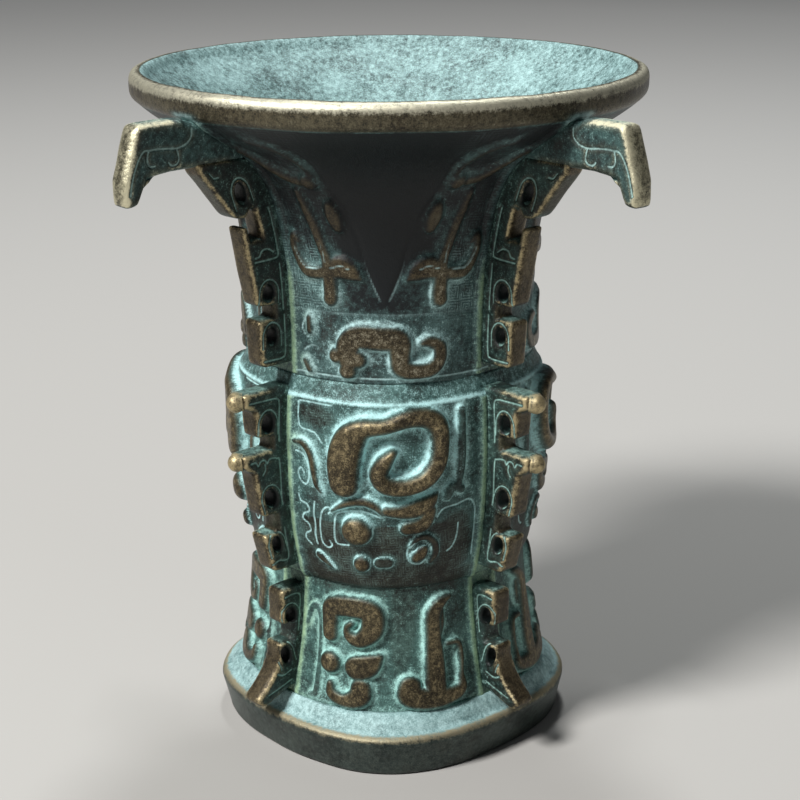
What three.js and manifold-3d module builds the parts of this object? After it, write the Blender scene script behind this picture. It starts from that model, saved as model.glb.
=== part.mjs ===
// A cast bronze zun: a wine vessel with a round trumpet mouth and a softly squared body, on a ring foot
// and a base plate, with four columns of pierced, hooked flanges. Millimetres, +Z up, standing on z = 0,
// with the front face towards -Y and the flanges on the diagonals.
import * as THREE from 'three';
import { ConvexGeometry } from 'three/addons/geometries/ConvexGeometry.js';
import { mergeVertices } from 'three/addons/utils/BufferGeometryUtils.js';
import Module from 'manifold-3d';

const wasm = await Module();
wasm.setup();

// Heights, from the table upwards
const BASE_HEIGHT = 8.4;
const SKIRT_RISE = 3.6;
const FOOT_HEIGHT = 25;
const BELLY_HEIGHT = 38.4;
const SHOULDER_RISE = 3.6;
const NECK_HEIGHT = 51;
const LIP_HEIGHT = 5;

// Outer radii, along the flanges
const FOOT_RADIUS = 29.5;
const BASE_OVERHANG = 4.3;
const BASE_TAPER = 1.5;
const WAIST_RADIUS = 26;
const BELLY_BOTTOM_RADIUS = 27.6;
const SHOULDER_RADIUS = 29.4;
const NECK_RADIUS = 28;
const MOUTH_RADIUS = 50;

// How far the middle of each face stands out beyond that
const BASE_SWELL = 2.5;
const BODY_SWELL = 1.4;
const NECK_SWELL = 0.8;

// Castings and the seats between them
const WALL = 3;
const LIP_WALL = 4.6;
const LIP_ROUND = 1.6;
const BASE_ROUND = 0.9;
const FLOOR_THICKNESS = 3;
const SPIGOT_LENGTH = 4;
const CLEARANCE = 0.3;

// Curves of the trumpet, the belly and the foot
const NECK_STRAIGHT = 5;
const FLARE_PULL = 0.875;
const FLARE_RUN = 9.6;
const FLARE_DROP = 8.75;
const BELLY_SWELL = 0.7;
const BELLY_UNDERCUT = 3.4;
const FOOT_HOLLOW = 1.4;

// Flanges and hooks
const FLANGE_THICKNESS = 5;
const FLANGE_EDGE = 0.6;
const FLANGE_REACH = 7;
const FLANGE_ROUND = 1.2;
const NOTCH_ROUND = 0.5;
const TENON = 1.2;
const HOOK_REACH = 14.3;
const HOOK_DEPTH = 8.7;
const HOOK_DROOP = 14;
const HOOK_BEAK = 2.3;
const FLANGE_MARGIN = 2.1;
const TAIL_HEIGHT = 1.2;
const TAIL_OVERHANG = 5.3;

// Relief of the masks
const HORN_HEIGHT = 2.4;
const EYE_HEIGHT = 2;
const MASK_HEIGHT = 1.2;
const RELIEF_SINK = 0.8;
const RELIEF_EASE = 0.6;

const ROUND_STEPS = 40;
const TRUMPET_STEPS = 6;
const BELLY_STEPS = 5;
const FOOT_STEPS = 3;
const CORNER_STEPS = 1;
const HOLE_SIDES = 8;
const ROOT_STEPS = 4;
const BOSS_SIDES = 8;
const CORNERS = { front_left: -135, front_right: -45, back_right: 45, back_left: 135 };
const MASK_CORNERS = [CORNERS.front_left, CORNERS.back_right];

const footBottom = BASE_HEIGHT + SKIRT_RISE;
const waist = footBottom + FOOT_HEIGHT;
const shoulder = waist + BELLY_HEIGHT;
const neckBottom = shoulder + SHOULDER_RISE;
const lipUnder = neckBottom + NECK_HEIGHT;
const lipTop = lipUnder + LIP_HEIGHT;
const point = (r, z, swell = 0) => Object.assign(new THREE.Vector2(r, z), { swell });

// Outer wall curves, each from the bottom of its section to the top
const footCurve = new THREE.QuadraticBezierCurve(
  point(FOOT_RADIUS, footBottom),
  point((FOOT_RADIUS + WAIST_RADIUS) / 2 - FOOT_HOLLOW, footBottom + FOOT_HEIGHT / 2),
  point(WAIST_RADIUS, waist),
);
const bellyCurve = new THREE.CubicBezierCurve(
  point(BELLY_BOTTOM_RADIUS, waist + BELLY_UNDERCUT),
  point(SHOULDER_RADIUS + BELLY_SWELL / 2, waist + BELLY_HEIGHT / 3),
  point(SHOULDER_RADIUS + BELLY_SWELL, waist + BELLY_HEIGHT * 2 / 3),
  point(SHOULDER_RADIUS, shoulder),
);
const trumpetFoot = neckBottom + NECK_STRAIGHT;
const lipCorner = point(MOUTH_RADIUS - LIP_ROUND / 2, lipUnder);
const trumpetCurve = new THREE.CubicBezierCurve(
  point(NECK_RADIUS, trumpetFoot),
  point(NECK_RADIUS, trumpetFoot + FLARE_PULL * (lipUnder - trumpetFoot)),
  point(lipCorner.x - FLARE_RUN, lipCorner.y - FLARE_DROP),
  lipCorner,
);
const bodyPoint = (p) => point(p.x, p.y, BODY_SWELL);
const neckPoint = (p) => point(p.x, p.y, NECK_SWELL * (lipUnder - p.y) / NECK_HEIGHT);
const FOOT_POINTS = footCurve.getPoints(FOOT_STEPS).map(bodyPoint);
const BELLY_POINTS = [
  point(WAIST_RADIUS + CLEARANCE, waist),
  ...bellyCurve.getPoints(BELLY_STEPS),
].map(bodyPoint);
const TRUMPET_POINTS = [
  point(NECK_RADIUS, neckBottom),
  ...trumpetCurve.getPoints(TRUMPET_STEPS),
].map(neckPoint);

// Share of the swell at an angle: none along the flanges, all of it in the middle of each face
const swellShare = (angle) => (1 + Math.cos(4 * angle)) / 2;

// Radius of an outer wall at height z, read along the faceted curve
function radiusAt(wall, z) {
  let above = wall.findIndex((p) => p.y >= z);
  if (above < 0) above = wall.length - 1;
  if (above === 0) above = 1;
  const [low, high] = [wall[above - 1], wall[above]];
  return low.x + (high.x - low.x) * (z - low.y) / (high.y - low.y);
}

// Points of a curve moved inwards by a thickness that runs from first to last
function innerWall(curve, steps, first, last) {
  return Array.from({ length: steps + 1 }, (_, i) => {
    const t = i / steps;
    const tangent = curve.getTangent(t);
    const depth = first + (last - first) * t * t;
    return curve.getPoint(t).add(point(-tangent.y, tangent.x).multiplyScalar(depth));
  });
}

// Closed solid of a geometry, with its shared vertices merged and empty triangles dropped
function solidOf(geometry) {
  geometry.deleteAttribute('normal');
  geometry.deleteAttribute('uv');
  const merged = mergeVertices(geometry, 1e-4);
  const index = merged.index.array;
  const kept = [];
  for (let i = 0; i < index.length; i += 3) {
    const [a, b, c] = index.slice(i, i + 3);
    if (a !== b && b !== c && c !== a) kept.push(a, b, c);
  }
  return new wasm.Manifold(new wasm.Mesh({
    numProp: 3,
    vertProperties: new Float32Array(merged.attributes.position.array),
    triVerts: new Uint32Array(kept),
  }));
}

// Body of a profile that runs up the outside and down the inside, turned about Z, with each point's swell
function turned(profile) {
  const geometry = new THREE.LatheGeometry(profile, ROUND_STEPS);
  const spots = geometry.attributes.position;
  for (let i = 0; i < spots.count; i += 1) {
    const { x: radius, swell = 0 } = profile[i % profile.length];
    const angle = Math.floor(i / profile.length) * 2 * Math.PI / ROUND_STEPS;
    const growth = radius > 0 ? 1 + swell * swellShare(angle) / radius : 1;
    spots.setX(i, spots.getX(i) * growth);
    spots.setZ(i, spots.getZ(i) * growth);
  }
  geometry.rotateX(Math.PI / 2);
  return solidOf(geometry);
}

function meshOf(name, solid, finish) {
  const { vertProperties, triVerts } = solid.getMesh();
  const geometry = new THREE.BufferGeometry();
  geometry.setAttribute('position', new THREE.BufferAttribute(vertProperties, 3));
  geometry.setIndex(new THREE.BufferAttribute(triVerts, 1));
  geometry.computeVertexNormals();
  const mesh = new THREE.Mesh(geometry, new THREE.MeshStandardMaterial(finish));
  mesh.name = name;
  return mesh;
}

// Shape through corners [r, z, rounding], each rounded by an arc that leaves room for its neighbours
function outlineOf(corners) {
  const shape = new THREE.Shape();
  corners.forEach(([r, z, rounding], i) => {
    const here = point(r, z);
    const arriving = here.clone().sub(point(...corners.at(i - 1)));
    const leaving = point(...corners[(i + 1) % corners.length]).sub(here);
    const turn = Math.atan2(arriving.cross(leaving), arriving.dot(leaving));
    if (!rounding || Math.abs(turn) < 0.2) {
      if (i === 0) shape.moveTo(r, z);
      else shape.lineTo(r, z);
      return;
    }
    const room = 0.45 * Math.min(arriving.length(), leaving.length());
    const setback = Math.min(room, rounding * Math.tan(Math.abs(turn) / 2));
    const radius = setback / Math.tan(Math.abs(turn) / 2);
    const heading = arriving.angle();
    const side = Math.sign(turn) * Math.PI / 2;
    const entry = here.clone().sub(arriving.setLength(setback));
    const inwards = point(Math.cos(heading + side), Math.sin(heading + side));
    const middle = entry.clone().addScaledVector(inwards, radius);
    if (i === 0) shape.moveTo(entry.x, entry.y);
    shape.absarc(middle.x, middle.y, radius, heading - side, heading - side + turn, turn < 0);
  });
  return shape;
}

// Upright plate in the plane of X and Z, centred on y = 0, with or without eased edges
function plateOf(shape, thickness, edge) {
  const geometry = new THREE.ExtrudeGeometry(shape, {
    depth: thickness - 2 * edge,
    bevelEnabled: edge > 0,
    bevelThickness: edge,
    bevelSize: edge,
    bevelOffset: -edge,
    bevelSegments: 1,
    curveSegments: CORNER_STEPS,
  });
  geometry.translate(0, 0, edge - thickness / 2);
  geometry.rotateX(Math.PI / 2);
  return solidOf(geometry);
}

// Line along a wall from z = top down to z = bottom, moved out by a reach
function alongWall(wall, bottom, top, reach) {
  return Array.from({ length: ROOT_STEPS + 1 }, (_, i) => {
    const z = top + (bottom - top) * i / ROOT_STEPS;
    return [radiusAt(wall, z) + reach, z];
  });
}

// Slot in a wall for the tenon of one flange, turned to its corner
function slotOf(wall, bottom, top, angle) {
  const inner = alongWall(wall, bottom - CLEARANCE, top + CLEARANCE, -TENON - CLEARANCE);
  const outer = alongWall(wall, bottom - CLEARANCE, top + CLEARANCE, HOOK_REACH).reverse();
  const slot = plateOf(outlineOf([...inner, ...outer]), FLANGE_THICKNESS + 2 * CLEARANCE, 0);
  return slot.rotate([0, 0, angle]);
}

// Flange on a wall: corners are [share of its height, share of FLANGE_REACH, rounding] up the outer edge,
// holes are [share of its height, then reach, width and height as shares of FLANGE_REACH, lean in degrees]
function flangeOf(wall, bottom, top, corners, holes) {
  const heightAt = (share) => bottom + share * (top - bottom);
  const reachAt = (share, reach) => radiusAt(wall, heightAt(share)) + reach * FLANGE_REACH;
  const outer = corners.map(([share, reach, round]) => [reachAt(share, reach), heightAt(share), round]);
  const root = alongWall(wall, bottom, top, -TENON);
  let flange = plateOf(outlineOf([...outer, ...root]), FLANGE_THICKNESS, FLANGE_EDGE);
  for (const [share, reach, width, height, lean] of holes) {
    const hole = new THREE.CylinderGeometry(0.5, 0.5, 2 * FLANGE_THICKNESS, HOLE_SIDES);
    hole.rotateY(Math.PI / HOLE_SIDES);
    hole.scale(width * FLANGE_REACH, 1, height * FLANGE_REACH);
    hole.rotateY(THREE.MathUtils.degToRad(lean));
    hole.translate(reachAt(share, reach), 0, heightAt(share));
    flange = flange.subtract(solidOf(hole));
  }
  return flange;
}

// Relief on a wall, beside the flange at a corner: a flat-topped strand through stations [degrees from the
// flange, share of the wall's height, width in degrees], or a round boss at a single station
function reliefOf(wall, stations, height, corner, side) {
  const [bottom, top] = [wall[0].y, wall.at(-1).y];
  const unroll = radiusAt(wall, (bottom + top) / 2);
  const arcOf = (degrees) => THREE.MathUtils.degToRad(degrees) * unroll;
  const spots = stations.map(([degrees, share]) => point(arcOf(degrees), bottom + share * (top - bottom)));
  const onWall = (spot, lift) => {
    const angle = THREE.MathUtils.degToRad(corner) + side * spot.x / unroll;
    const r = radiusAt(wall, spot.y) + BODY_SWELL * swellShare(angle) + lift;
    return new THREE.Vector3(r * Math.cos(angle), r * Math.sin(angle), spot.y);
  };
  const around = (spot, size, lift) => Array.from({ length: BOSS_SIDES }, (_, i) => {
    const angle = (i + 0.5) * 2 * Math.PI / BOSS_SIDES;
    return onWall(point(spot.x + size * Math.cos(angle), spot.y + size * Math.sin(angle)), lift);
  });
  if (stations.length === 1) {
    const size = arcOf(stations[0][2]) / 2;
    const rings = [[size, -RELIEF_SINK], [size * 0.6, height]];
    return solidOf(new ConvexGeometry(rings.flatMap(([reach, lift]) => around(spots[0], reach, lift))));
  }
  const sections = spots.map((spot, i) => {
    const before = spots[Math.max(i - 1, 0)];
    const after = spots[Math.min(i + 1, spots.length - 1)];
    const across = point(before.y - after.y, after.x - before.x).normalize();
    const foot = arcOf(stations[i][2]) / 2;
    const crest = Math.max(foot - RELIEF_EASE, foot / 3);
    return [[foot, -RELIEF_SINK], [crest, height]].flatMap(([reach, lift]) => [
      onWall(spot.clone().addScaledVector(across, reach), lift),
      onWall(spot.clone().addScaledVector(across, -reach), lift),
    ]);
  });
  const bars = sections.slice(1).map((section, i) => new ConvexGeometry([...sections[i], ...section]));
  return wasm.Manifold.union(bars.map(solidOf));
}

// Base: a squared ring with a sloped top, a seat for the foot and an open middle
const baseRadius = FOOT_RADIUS + BASE_OVERHANG;
const footBore = FOOT_RADIUS - WALL;
const seatDepth = SKIRT_RISE + CLEARANCE;
const base = turned([
  point(footBore, 0),
  point(baseRadius - BASE_TAPER - BASE_ROUND, 0, BASE_SWELL),
  point(baseRadius - BASE_TAPER, BASE_ROUND, BASE_SWELL),
  point(baseRadius, BASE_HEIGHT - BASE_ROUND, BASE_SWELL),
  point(baseRadius - BASE_ROUND, BASE_HEIGHT, BASE_SWELL),
  point(FOOT_RADIUS + CLEARANCE, footBottom, BODY_SWELL),
  point(FOOT_RADIUS + CLEARANCE, footBottom - seatDepth, BODY_SWELL),
  point(footBore, footBottom - seatDepth),
  point(footBore, 0),
]);

// Ring foot: stands in the seat of the base and carries the floor on its spigot
const spigotRadius = WAIST_RADIUS - WALL / 2;
const spigotTop = waist + SPIGOT_LENGTH;
const footInside = innerWall(footCurve, FOOT_STEPS, WALL, WALL).reverse();
let ringFoot = turned([
  point(footBore, footBottom - seatDepth),
  point(FOOT_RADIUS, footBottom - seatDepth, BODY_SWELL),
  ...FOOT_POINTS,
  point(spigotRadius, waist),
  point(spigotRadius, spigotTop),
  point(WAIST_RADIUS - WALL, spigotTop),
  ...footInside,
  point(footBore, footBottom - seatDepth),
]);

// Vessel floor: a disc on the spigot of the foot, inside the bore of the belly
const floorTop = spigotTop + FLOOR_THICKNESS;
const vesselFloor = turned([
  point(0, spigotTop),
  point(spigotRadius, spigotTop),
  point(spigotRadius, floorTop),
  point(0, floorTop),
]);

// Belly: a drum with a sloped shoulder, bored below for the foot and floor, above for the neck
const floorBore = spigotRadius + CLEARANCE;
const neckBore = NECK_RADIUS - WALL / 2 + CLEARANCE;
const neckSeat = neckBottom - SPIGOT_LENGTH - CLEARANCE;
let belly = turned([
  point(floorBore, waist),
  ...BELLY_POINTS,
  point(NECK_RADIUS, neckBottom, NECK_SWELL),
  point(neckBore, neckBottom),
  point(neckBore, neckSeat),
  point(SHOULDER_RADIUS - WALL, neckSeat - WALL / 2),
  point(floorBore + WALL / 2, floorTop + WALL),
  point(floorBore, floorTop),
  point(floorBore, waist),
]);

// Neck: trumpet and lip, with a spigot that drops into the belly
const neckSpigot = neckBore - CLEARANCE;
const mouthInside = innerWall(trumpetCurve, TRUMPET_STEPS, WALL, LIP_WALL).reverse();
let neck = turned([
  point(NECK_RADIUS - WALL, neckBottom - SPIGOT_LENGTH),
  point(neckSpigot, neckBottom - SPIGOT_LENGTH),
  point(neckSpigot, neckBottom),
  ...TRUMPET_POINTS,
  point(MOUTH_RADIUS, lipUnder + LIP_ROUND),
  point(MOUTH_RADIUS, lipTop - LIP_ROUND),
  point(MOUTH_RADIUS - LIP_ROUND / 3, lipTop - LIP_ROUND / 3),
  point(MOUTH_RADIUS - LIP_ROUND, lipTop),
  ...mouthInside,
  point(NECK_RADIUS - WALL, neckBottom - SPIGOT_LENGTH),
]);

// Heights between which each flange sits
const hookTop = lipUnder - CLEARANCE;
const hookBottom = lipUnder - HOOK_DEPTH;
const neckSpan = [neckBottom + FLANGE_MARGIN, hookBottom - CLEARANCE];
const bellySpan = [waist + FLANGE_MARGIN, neckBottom - FLANGE_MARGIN];
const footSpan = [footBottom + TAIL_HEIGHT, waist - FLANGE_MARGIN];

// Three bars on a root web, the top one sweeping out under the hook
const neckFlange = flangeOf(TRUMPET_POINTS, ...neckSpan, [
  [0, 1.02, FLANGE_ROUND],
  [0.239, 1.11, FLANGE_ROUND],
  [0.239, 0.48, NOTCH_ROUND],
  [0.304, 0.48, NOTCH_ROUND],
  [0.304, 1.09, FLANGE_ROUND],
  [0.691, 1.23, FLANGE_ROUND],
  [0.691, 0.49, NOTCH_ROUND],
  [0.74, 0.49, NOTCH_ROUND],
  [0.74, 1.39, FLANGE_ROUND],
  [0.86, 1.64, FLANGE_ROUND],
  [0.97, 1.74, FLANGE_ROUND],
], [
  [0.15, 0.65, 0.34, 0.5, 0],
  [0.37, 0.66, 0.36, 0.5, 0],
  [0.64, 0.69, 0.27, 0.5, 0],
  [0.85, 0.94, 0.32, 0.64, 20],
]);

// Three bars, the upper two ending in ball tips
const bellyFlange = flangeOf(BELLY_POINTS, ...bellySpan, [
  [0, 0.94, FLANGE_ROUND],
  [0.215, 1.03, FLANGE_ROUND],
  [0.215, 0.45, NOTCH_ROUND],
  [0.31, 0.45, NOTCH_ROUND],
  [0.31, 1.05, FLANGE_ROUND],
  [0.57, 1.17, NOTCH_ROUND],
  [0.595, 1.64, FLANGE_ROUND],
  [0.676, 1.64, FLANGE_ROUND],
  [0.676, 0.48, NOTCH_ROUND],
  [0.722, 0.48, NOTCH_ROUND],
  [0.722, 1.04, FLANGE_ROUND],
  [0.885, 1.11, NOTCH_ROUND],
  [0.91, 1.64, FLANGE_ROUND],
  [1, 1.64, FLANGE_ROUND],
], [[0.14, 0.64, 0.3, 0.5, 15], [0.42, 0.64, 0.36, 0.54, 15], [0.82, 0.66, 0.36, 0.54, 0]]);

// A short bar above a tail that sweeps out over the base
const tail = (BASE_OVERHANG + TAIL_OVERHANG) / FLANGE_REACH;
const footFlange = flangeOf(FOOT_POINTS, ...footSpan, [
  [0, 0.12, 0],
  [-0.12, tail - 0.26, FLANGE_ROUND],
  [0, tail, FLANGE_ROUND],
  [0.22, 0.98, 3 * FLANGE_ROUND],
  [0.475, 0.8, FLANGE_ROUND],
  [0.475, 0.26, NOTCH_ROUND],
  [0.636, 0.26, NOTCH_ROUND],
  [0.636, 0.74, FLANGE_ROUND],
  [0.975, 0.86, FLANGE_ROUND],
], [[0.34, 0.48, 0.28, 0.5, 15], [0.72, 0.46, 0.3, 0.44, 15]]);

// Hook under the lip: a level arm with a drooping beak
const armRoot = alongWall(TRUMPET_POINTS, hookBottom, hookTop, -TENON);
const beak = (out, down, rounding) => [MOUTH_RADIUS + out, lipUnder - down, rounding];
const rimHook = plateOf(outlineOf([
  beak(HOOK_REACH - 2 * HOOK_BEAK, HOOK_DEPTH, 2 * FLANGE_ROUND),
  beak(HOOK_REACH - HOOK_BEAK, HOOK_DROOP, FLANGE_ROUND),
  beak(HOOK_REACH, HOOK_DROOP, FLANGE_ROUND),
  beak(HOOK_REACH, HOOK_DEPTH + CLEARANCE, 2 * FLANGE_ROUND),
  beak(HOOK_REACH - HOOK_BEAK, CLEARANCE, FLANGE_ROUND),
  ...armRoot,
]), FLANGE_THICKNESS, FLANGE_EDGE);

// Half of a horned mask on each side of a belly flange: a coiled horn, brow, eye, nose, jaw and ear
const BELLY_MASK = [
  [HORN_HEIGHT, [
    [30, 0.6, 13.5], [30, 0.73, 14], [35, 0.86, 10], [45, 0.9, 6.5], [56, 0.93, 8], [63, 0.87, 8.4],
    [64, 0.75, 7.4], [60, 0.64, 7.6], [51, 0.59, 7.6], [43, 0.62, 7.2], [44.5, 0.73, 5.7], [49, 0.8, 2.3],
  ]],
  [MASK_HEIGHT, [[25, 0.44, 2], [35, 0.51, 4], [44, 0.44, 2]]],
  [EYE_HEIGHT, [[34.6, 0.34, 12]]],
  [MASK_HEIGHT, [[45, 0.46, 4.6], [57, 0.47, 7.6], [63, 0.54, 2.3]]],
  [MASK_HEIGHT, [[59.5, 0.43, 6], [53, 0.365, 6]]],
  [MASK_HEIGHT, [[73, 0.95, 4], [72, 0.57, 4.2]]],
];

// Half of a smaller mask on each side of a foot flange: a square coil, eye, jaws and a hooked body
const FOOT_MASK = [
  [MASK_HEIGHT, [
    [21.6, 0.56, 7], [22, 0.8, 8.3], [30.5, 0.84, 9], [39, 0.82, 8.5], [40, 0.7, 9], [36, 0.57, 7.2],
    [30, 0.58, 5], [29, 0.67, 3.4],
  ]],
  [MASK_HEIGHT, [[22, 0.34, 9.3]]],
  [MASK_HEIGHT, [[34, 0.33, 9.7], [43, 0.46, 2.5]]],
  [MASK_HEIGHT, [[22.7, 0.18, 3], [25, 0.1, 4.2], [34.5, 0.11, 7.2], [35.5, 0.19, 8.5]]],
  [MASK_HEIGHT, [[72, 0.9, 2.5], [64, 0.8, 5], [63, 0.56, 5], [63.4, 0.13, 7.6]]],
  [MASK_HEIGHT, [
    [69, 0.5, 3.8], [75, 0.45, 4.2], [74.5, 0.2, 3.4], [70, 0.09, 6], [57, 0.1, 7.6], [53, 0.2, 8.5],
  ]],
];
for (const corner of MASK_CORNERS) {
  for (const side of [1, -1]) {
    for (const [height, stations] of BELLY_MASK) {
      belly = belly.add(reliefOf(BELLY_POINTS, stations, height, corner, side));
    }
    for (const [height, stations] of FOOT_MASK) {
      ringFoot = ringFoot.add(reliefOf(FOOT_POINTS, stations, height, corner, side));
    }
  }
}

for (const angle of Object.values(CORNERS)) {
  neck = neck.subtract(slotOf(TRUMPET_POINTS, hookBottom, hookTop, angle));
  neck = neck.subtract(slotOf(TRUMPET_POINTS, ...neckSpan, angle));
  belly = belly.subtract(slotOf(BELLY_POINTS, ...bellySpan, angle));
  ringFoot = ringFoot.subtract(slotOf(FOOT_POINTS, ...footSpan, angle));
}

// Finishes read from the photograph
const PATINA = { color: 0x46534d, roughness: 0.6, metalness: 0.6 };
const PALE_PATINA = { color: 0x6d8079, roughness: 0.7, metalness: 0.4 };
const DARK_PATINA = { color: 0x3b4440, roughness: 0.55, metalness: 0.65 };
const WORN_BRASS = { color: 0x7c7058, roughness: 0.45, metalness: 0.8 };

const zun = new THREE.Group();
zun.add(
  meshOf('base', base, PALE_PATINA),
  meshOf('ring_foot', ringFoot, PATINA),
  meshOf('vessel_floor', vesselFloor, PALE_PATINA),
  meshOf('belly', belly, PATINA),
  meshOf('neck', neck, PATINA),
);
for (const [corner, angle] of Object.entries(CORNERS)) {
  const column = new THREE.Group();
  column.rotation.z = THREE.MathUtils.degToRad(angle);
  column.add(
    meshOf(`rim_hook_${corner}`, rimHook, WORN_BRASS),
    meshOf(`neck_flange_${corner}`, neckFlange, DARK_PATINA),
    meshOf(`belly_flange_${corner}`, bellyFlange, DARK_PATINA),
    meshOf(`foot_flange_${corner}`, footFlange, DARK_PATINA),
  );
  zun.add(column);
}

export default zun;
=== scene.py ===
import math

import bmesh
import bpy
import numpy as np
from mathutils import Matrix, Quaternion, Vector, noise
from mathutils.geometry import interpolate_bezier


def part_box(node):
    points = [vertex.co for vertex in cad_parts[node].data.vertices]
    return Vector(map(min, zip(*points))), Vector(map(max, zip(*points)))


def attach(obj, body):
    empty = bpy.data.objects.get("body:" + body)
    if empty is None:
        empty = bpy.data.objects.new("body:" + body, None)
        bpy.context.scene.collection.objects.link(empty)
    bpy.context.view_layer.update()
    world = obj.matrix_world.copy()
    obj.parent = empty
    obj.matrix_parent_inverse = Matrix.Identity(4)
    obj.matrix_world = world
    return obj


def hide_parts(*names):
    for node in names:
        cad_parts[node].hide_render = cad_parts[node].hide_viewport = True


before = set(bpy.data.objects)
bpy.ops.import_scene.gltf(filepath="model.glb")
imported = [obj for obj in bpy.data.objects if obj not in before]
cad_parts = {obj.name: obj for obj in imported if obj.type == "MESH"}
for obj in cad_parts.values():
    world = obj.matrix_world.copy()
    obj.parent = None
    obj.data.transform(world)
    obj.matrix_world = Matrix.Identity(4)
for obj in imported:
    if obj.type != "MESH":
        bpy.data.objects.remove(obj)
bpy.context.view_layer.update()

# Viewpoint: a long lens a little above the mouth, turned slightly to the right of the front face,
# so that the mouth shows as a flat ellipse and two flanges frame the face.
EYE_DISTANCE = 0.3571
EYE_HEIGHT = 0.1816
EYE_TURN = math.radians(2)
EYE_PITCH = math.radians(17.83)
EYE_ROLL = math.radians(-0.38)
LENS = 82.47
SENSOR_WIDTH = 36
FRAME_SHIFT = 0.0114
NEAR_CLIP = 0.01


def linked(name, data):
    """New object in the scene that holds a mesh, a lamp or a camera."""
    thing = bpy.data.objects.new(name, data)
    bpy.context.scene.collection.objects.link(thing)
    return thing


camera = linked("camera", bpy.data.cameras.new("camera"))
camera.data.sensor_width = SENSOR_WIDTH
camera.data.lens = LENS
camera.data.shift_x = FRAME_SHIFT
camera.data.clip_start = NEAR_CLIP
camera.location = (EYE_DISTANCE * math.sin(EYE_TURN), -EYE_DISTANCE * math.cos(EYE_TURN), EYE_HEIGHT)
camera.rotation_mode = "QUATERNION"
camera.rotation_quaternion = (
    Quaternion((0, 0, 1), EYE_TURN)
    @ Quaternion((1, 0, 0), math.pi / 2 - EYE_PITCH)
    @ Quaternion((0, 0, 1), EYE_ROLL)
)
bpy.context.scene.camera = camera
bpy.context.scene.view_settings.view_transform = "Standard"


# Studio: a plain floor that runs past the picture, painted paler where less light falls, a soft lamp high
# at the front left, a weaker one over the mouth, and an even pale sky.
MIX_SHARE = 0
MIX_ONE = 6
MIX_OTHER = 7
MIXED_COLOUR = 2


def tone(red, green, blue):
    """Colour written as it shows on a screen, 0 to 255, as the linear values that shaders take."""
    shown = np.array([red, green, blue]) / 255
    linear = np.where(shown < 0.04045, shown / 12.92, ((shown + 0.055) / 1.055) ** 2.4)
    return (*linear.tolist(), 1)


def wired(tree, kind, inputs, output=0, **settings):
    """Adds one node, sets it, links or fills its inputs, and gives back one of its outputs."""
    made = tree.nodes.new(kind)
    for key, value in settings.items():
        setattr(made, key, value)
    for key, value in inputs.items():
        if isinstance(value, bpy.types.NodeSocket):
            tree.links.new(value, made.inputs[key])
        else:
            made.inputs[key].default_value = value
    return made.outputs[output]


def blended(tree, share, one, other):
    """Colour mixed from two others by a share."""
    inputs = {MIX_SHARE: share, MIX_ONE: one, MIX_OTHER: other}
    return wired(tree, "ShaderNodeMix", inputs, MIXED_COLOUR, data_type="RGBA")


def soft_lamp(name, spot, aim, width, power, colour):
    """A square area lamp that looks from one spot at another."""
    lamp = bpy.data.lights.new(name, "AREA")
    lamp.size = width
    lamp.energy = power
    lamp.color = colour
    holder = linked(name, lamp)
    holder.location = spot
    holder.rotation_euler = (Vector(aim) - Vector(spot)).to_track_quat("-Z", "Y").to_euler()


def meshed(name, shape):
    """Mesh of a bmesh, which is freed."""
    mesh = bpy.data.meshes.new(name)
    shape.to_mesh(mesh)
    shape.free()
    return mesh


KEY_SPOT = (-0.64, -0.6, 1.02)
MOUTH_LAMP_SPOT = (0.03, 0.42, 1.05)
soft_lamp("key_lamp", KEY_SPOT, aim=(0, 0, 0.07), width=0.3, power=23, colour=(1, 0.99, 0.98))
soft_lamp("mouth_lamp", MOUTH_LAMP_SPOT, aim=(0, 0.02, 0.13), width=0.16, power=5.5, colour=(0.96, 0.99, 1))
FLOOR_RADIUS = 4
FLOOR_DROP = 0.0001
FLOOR_SIDES = 96
FLOOR_TONE = tone(178, 176, 172)
FAR_TONE = tone(240, 239, 236)
FLOOR_ROUGHNESS = 0.9
LIT_REACH = 1.35
DIM_REACH = 2.4
shape = bmesh.new()
bmesh.ops.create_circle(
    shape, cap_ends=True, segments=FLOOR_SIDES, radius=FLOOR_RADIUS,
    matrix=Matrix.Translation((0, 0, -FLOOR_DROP)),
)
floor_mesh = meshed("studio_floor", shape)
floor_paint = bpy.data.materials.new("floor_paint")
floor_paint.use_nodes = True
paint = floor_paint.node_tree
floor_spot = wired(paint, "ShaderNodeTexCoord", {}, "Object")
reach = wired(paint, "ShaderNodeVectorMath", {0: floor_spot, 1: KEY_SPOT}, "Value", operation="DISTANCE")
fading = wired(paint, "ShaderNodeMapRange", {"Value": reach, "From Min": LIT_REACH, "From Max": DIM_REACH})
floor_shader = paint.nodes["Principled BSDF"]
paint.links.new(blended(paint, fading, FLOOR_TONE, FAR_TONE), floor_shader.inputs["Base Color"])
floor_shader.inputs["Roughness"].default_value = FLOOR_ROUGHNESS
floor_mesh.materials.append(floor_paint)
studio_floor = linked("studio_floor", floor_mesh)
SKY_TONE = tone(190, 194, 198)
SKY_STRENGTH = 0.13
world = bpy.data.worlds.new("studio_sky")
bpy.context.scene.world = world
world.use_nodes = True
sky = world.node_tree.nodes["Background"].inputs
sky["Color"].default_value = SKY_TONE
sky["Strength"].default_value = SKY_STRENGTH


# Base: a softly squared plate of cast bronze with a sloped top and an open middle, that the ring foot is
# let into. Its top is thick with verdigris, its side is dark, and its rim is rubbed down to bare metal.
MM = 1000
CURVE_STEPS = 200
DOUBLINGS = 4
WELD = 0.001
MOSS_TONE = tone(164, 196, 154)
STAIN_TONE = tone(52, 48, 44)
SHEEN = 0.35
PIT_DEPTH = 0.0003


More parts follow.
